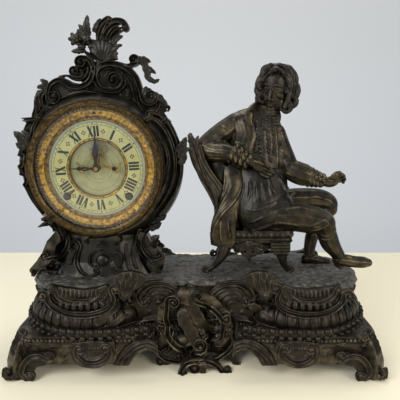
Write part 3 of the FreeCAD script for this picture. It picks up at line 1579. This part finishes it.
def chair_frame(holes):
    """Cabriole legs under a carved seat rail."""
    height = size.rail_bottom - size.ground_top + size.leg_top
    parts = []
    for x, y, way_x, way_y in leg_places():
        stations = []
        for out_share, height_share, radius_name in reversed(LEG_SHARES):
            radius = getattr(size, radius_name)
            out = (out_share - 0.75) * size.leg_knee
            stations.append((x + way_x * out, y + way_y * out, size.ground_top + height * height_share,
                             radius, radius))
        parts.append(path_limb(stations))
    outer = limb(rail_rings(0))
    inner = limb(rail_rings(size.leg_top))
    frame = outer.cut(inner).multiFuse(parts)
    floor = Part.makeBox(4 * size.seat_half, 4 * size.seat_half, size.leg_top,
                         V(size.chair_middle - 2 * size.seat_half, -2 * size.seat_half,
                           size.ground_top - size.leg_top))
    return node(feature("frame", apart(frame, [floor] + holes)), "chair_frame")


def rail_rings(skin):
    centre_x = size.chair_middle
    rings = []
    for height, spread in ((size.rail_bottom, 0.98), (size.rail_bottom + size.knuckle_radius, 1.06),
                           (size.rail_top, 1.02)):
        rings.append((V(centre_x, size.seat_shift, height), (size.seat_half + size.leg_knee) * spread - skin,
                      (size.seat_depth_half + size.leg_knee) * spread - skin, V(0, 0, 1)))
    return rings


def chair_seat(frame):
    rings = []
    rise = size.seat_top - size.rail_bottom
    for share, spread in ((0.0, 0.98), (0.62, 1.0), (0.85, 1.0), (1.0, 0.90)):
        rings.append((V(size.chair_middle, size.seat_shift, size.rail_bottom + rise * share),
                      size.seat_half * spread, size.seat_depth_half * spread, V(0, 0, 1)))
    return node(feature("seat", apart(limb(rings), [frame])), "chair_seat")


# The chair back leans away from the seat: places in shares of its rise above the rail
BACK_SHARES = ((0.19, 0.0, 0.86), (0.16, 0.22, 0.90), (0.05, 0.55, 1.0), (-0.01, 0.84, 0.92), (-0.035, 0.97, 0.50),
               (-0.03, 1.0, 0.24))


def chair_back(frame, seat):
    rise = size.back_top - size.rail_top
    foot = size.chair_middle - size.seat_half
    stations = []
    for lean, up, spread in BACK_SHARES:
        stations.append((foot - size.leg_top + lean * rise, size.seat_shift, size.rail_top + up * rise,
                         size.back_thick / 2, size.back_width_half * spread))
    return node(feature("back", apart(path_limb(stations), [frame, seat])), "chair_back")


# Figure: ring places and half sizes in shares of the figure unit, from the middle of the seat
TORSO_SHARES = (
    (-0.08, 0.0, 0.0, 0.34, 0.24), (-0.08, 0.0, 0.27, 0.32, 0.23), (-0.02, 0.0, 0.57, 0.27, 0.20),
    (0.04, 0.0, 0.97, 0.31, 0.22), (0.08, 0.0, 1.37, 0.35, 0.21), (0.10, 0.0, 1.58, 0.32, 0.17),
    (0.17, 0.0, 1.70, 0.15, 0.12), (0.25, 0.0, 1.82, 0.10, 0.10),
)
HEAD_SHARES = (
    (0.25, 0.0, 1.80, 0.12, 0.11), (0.27, 0.0, 1.88, 0.20, 0.20), (0.30, 0.0, 2.05, 0.27, 0.24),
    (0.31, 0.0, 2.22, 0.28, 0.25), (0.30, 0.0, 2.34, 0.20, 0.19), (0.30, 0.0, 2.40, 0.07, 0.07),
)
RIGHT_ARM_SHARES = (
    (-0.18, -0.02, 1.56, 0.13, 0.13), (-0.44, -0.04, 1.44, 0.135, 0.13), (-0.64, -0.06, 1.30, 0.12, 0.12),
    (-0.69, -0.11, 1.15, 0.11, 0.11), (-0.50, -0.18, 1.06, 0.10, 0.10), (-0.26, -0.26, 1.06, 0.095, 0.095),
    (-0.02, -0.33, 1.04, 0.08, 0.08), (0.28, -0.35, 0.90, 0.05, 0.035),
)
LEFT_ARM_SHARES = (
    (0.34, -0.02, 1.54, 0.13, 0.13), (0.52, -0.05, 1.22, 0.125, 0.12), (0.66, -0.10, 0.94, 0.12, 0.12),
    (0.80, -0.14, 0.84, 0.11, 0.11), (1.05, -0.20, 0.82, 0.085, 0.085), (1.20, -0.22, 0.82, 0.07, 0.05),
    (1.38, -0.24, 0.85, 0.03, 0.03),
)
NEAR_LEG_SHARES = (
    (0.0, -0.22, 0.14, 0.19, 0.17), (0.45, -0.33, 0.20, 0.17, 0.16), (0.95, -0.40, 0.28, 0.135, 0.13),
    (1.13, -0.41, 0.20, 0.125, 0.12), (1.16, -0.41, 0.0, 0.10, 0.10), (1.14, -0.40, -0.20, 0.075, 0.075),
    (1.19, -0.41, -0.32, 0.08, 0.07), (1.40, -0.42, -0.36, 0.075, 0.06), (1.66, -0.42, -0.37, 0.04, 0.035),
)
FAR_LEG_SHARES = (
    (0.0, 0.18, 0.18, 0.18, 0.17), (0.60, 0.24, 0.36, 0.16, 0.15), (1.16, 0.28, 0.48, 0.135, 0.13),
    (1.30, 0.28, 0.36, 0.12, 0.12), (1.22, 0.24, 0.05, 0.105, 0.10), (1.04, 0.18, -0.30, 0.075, 0.07),
    (1.03, 0.16, -0.43, 0.08, 0.07), (1.14, 0.18, -0.495, 0.075, 0.06), (1.32, 0.18, -0.52, 0.045, 0.035),
)
COAT_TAIL_SHARES = (
    (-0.20, -0.14, 0.50, 0.20, 0.10), (-0.34, -0.30, 0.16, 0.24, 0.08), (-0.42, -0.44, -0.06, 0.24, 0.05),
    (-0.46, -0.47, -0.24, 0.14, 0.03),
)


def figure_part(shares):
    unit = size.figure_unit
    stations = []
    for x, y, z, half_width, half_depth in shares:
        stations.append((size.chair_middle + x * unit, size.figure_depth + y * unit, size.seat_top + z * unit,
                         half_width * unit, half_depth * unit))
    return path_limb(stations)


def figure(frame, seat, back, ground):
    """Torso, head, arms, legs and coat tail, each cast by itself and seated on the last."""
    made = [frame, seat, back, ground]
    for label, shares in (
        ("figure_torso", TORSO_SHARES), ("near_leg", NEAR_LEG_SHARES), ("far_leg", FAR_LEG_SHARES),
        ("figure_head", HEAD_SHARES), ("left_arm", LEFT_ARM_SHARES), ("right_arm", RIGHT_ARM_SHARES),
        ("coat_tail", COAT_TAIL_SHARES),
    ):
        solid = apart(figure_part(shares), made)
        made.append(solid)
        node(feature(label + "_cast", solid), label)


def fixing_bolts():
    bolts = []
    foot = size.base_top - size.base_wall
    for x, y in BOLT_PLACES:
        nut = Part.makeCylinder(size.fixing_nut, size.fixing_bolt, V(x, y, foot - size.fixing_bolt))
        bolts.append(bolt_shank(x, y).fuse(nut))
    return node(feature("bolts", Part.makeCompound(bolts)), "fixing_bolts")


def build():
    shell, outer = base_shell()
    shell_shape = shape_of(shell)
    corner_feet(shape_of(outer))
    ground = shape_of(ground_plate())
    crescents = crescent_bands(shell_shape, ground).Shape
    fans = fan_arches(shell_shape, crescents).Shape
    shield_leaves(shell_shape, ground, crescents, fans)
    base_cartouche(shell_shape, ground, fans)
    solid_case = turned("case_solid", to_axis(outer_bowl()), at_dial())
    cavity = turned("case_cavity", to_axis(inner_bowl()), at_dial())
    case_shape = shape_of(solid_case)
    neck_pedestal(case_shape, crescents)
    drum_case()
    hinge_pins()
    crest = crest_scrolls(case_shape).Shape
    plume_finial(crest)
    ear_scrolls(case_shape)
    back_door()
    bezel_ring()
    bezel_glass()
    dial_pan()
    dial_surround()
    chapter_ring()
    centre_rim()
    centre_disc()
    front_plate()
    back_plate()
    plate_pillars()
    pillar_nuts()
    movement_straps(cavity)
    mainspring(TIME_GREAT, "time_mainspring")
    mainspring(STRIKE_GREAT, "strike_mainspring")
    gong_block(shape_of(cavity), gong_coil().Shape)
    time_train()
    motion_work()
    strike_train()
    escapement_bridge()
    bridge_screws()
    pallets()
    pendulum()
    hand(size.hour_hand_length, size.hour_hand_front, size.pipe_outer, 180, "hour_hand")
    hand(size.minute_hand_length, size.minute_hand_front, size.centre_arbor, -90, "minute_hand")
    hand_collet()
    hammer()
    regulator_arbor()
    holes = [bolt_shank(x, y) for x, y in BOLT_PLACES]
    frame = chair_frame(holes).Shape
    seat = chair_seat(frame).Shape
    back = chair_back(frame, seat).Shape
    figure(frame, seat, back, ground)
    fixing_bolts()


def check_and_write():
    doc.recompute()
    for piece in doc.Objects:
        if "Invalid" in piece.State or "Error" in piece.State:
            raise RuntimeError(f"{piece.Label} failed: {piece.State}")
    os.makedirs("parts", exist_ok=True)
    for piece in nodes:
        shape = piece.Shape
        if shape.isNull() or not shape.isValid() or not shape.Solids:
            raise RuntimeError(f"{piece.Label} has no sound shape")
        for solid in shape.Solids:
            if solid.Volume <= 0:
                raise RuntimeError(f"{piece.Label} holds an empty solid")
        print(f"{piece.Label:22s} solids {len(shape.Solids):2d} volume {shape.Volume:12.1f}")
        shape.exportStep(f"parts/{piece.Label}.step")


build()
check_and_write()
